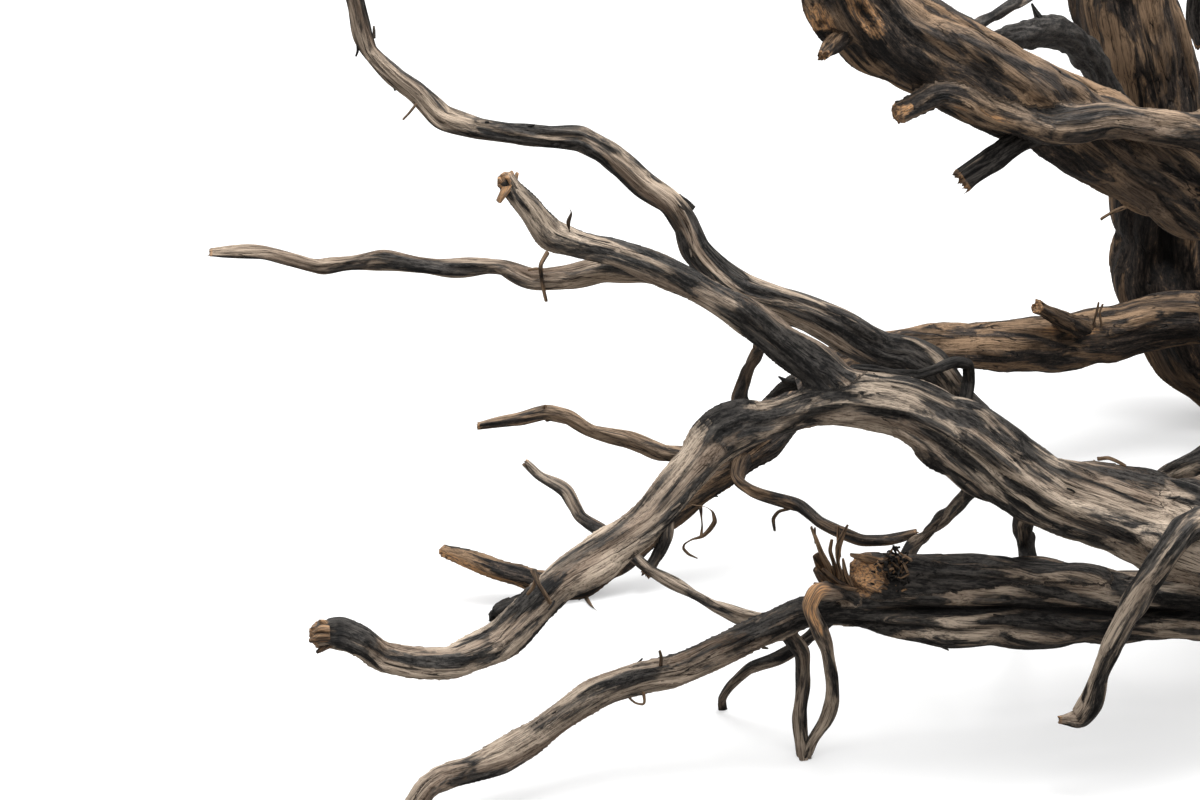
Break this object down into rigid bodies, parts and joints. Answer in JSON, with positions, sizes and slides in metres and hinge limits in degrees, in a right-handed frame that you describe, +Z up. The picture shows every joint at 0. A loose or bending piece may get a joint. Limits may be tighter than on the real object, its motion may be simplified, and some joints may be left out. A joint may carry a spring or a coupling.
{
  "type": "dry tree root",
  "caption": "Dry, part-charred tree root lying on its side: one crown with a stump stub, and branching, tapering roots that arch, twist and fan out to thin broken tips.",
  "frame": {"origin": "on the floor, under the middle of the root's bounding box", "axes": "+Z up; +X from the thin tips towards the crown and the stump stub; -Y is the side with the low front roots"},
  "size_m": [1.3054, 0.9176, 0.6371],
  "materials": {
    "dry_wood": "dry, dull, weathered and partly charred"
  },
  "bodies": {
    "root": {"dry_root": "dry_wood"}
  },
  "joints": []
}
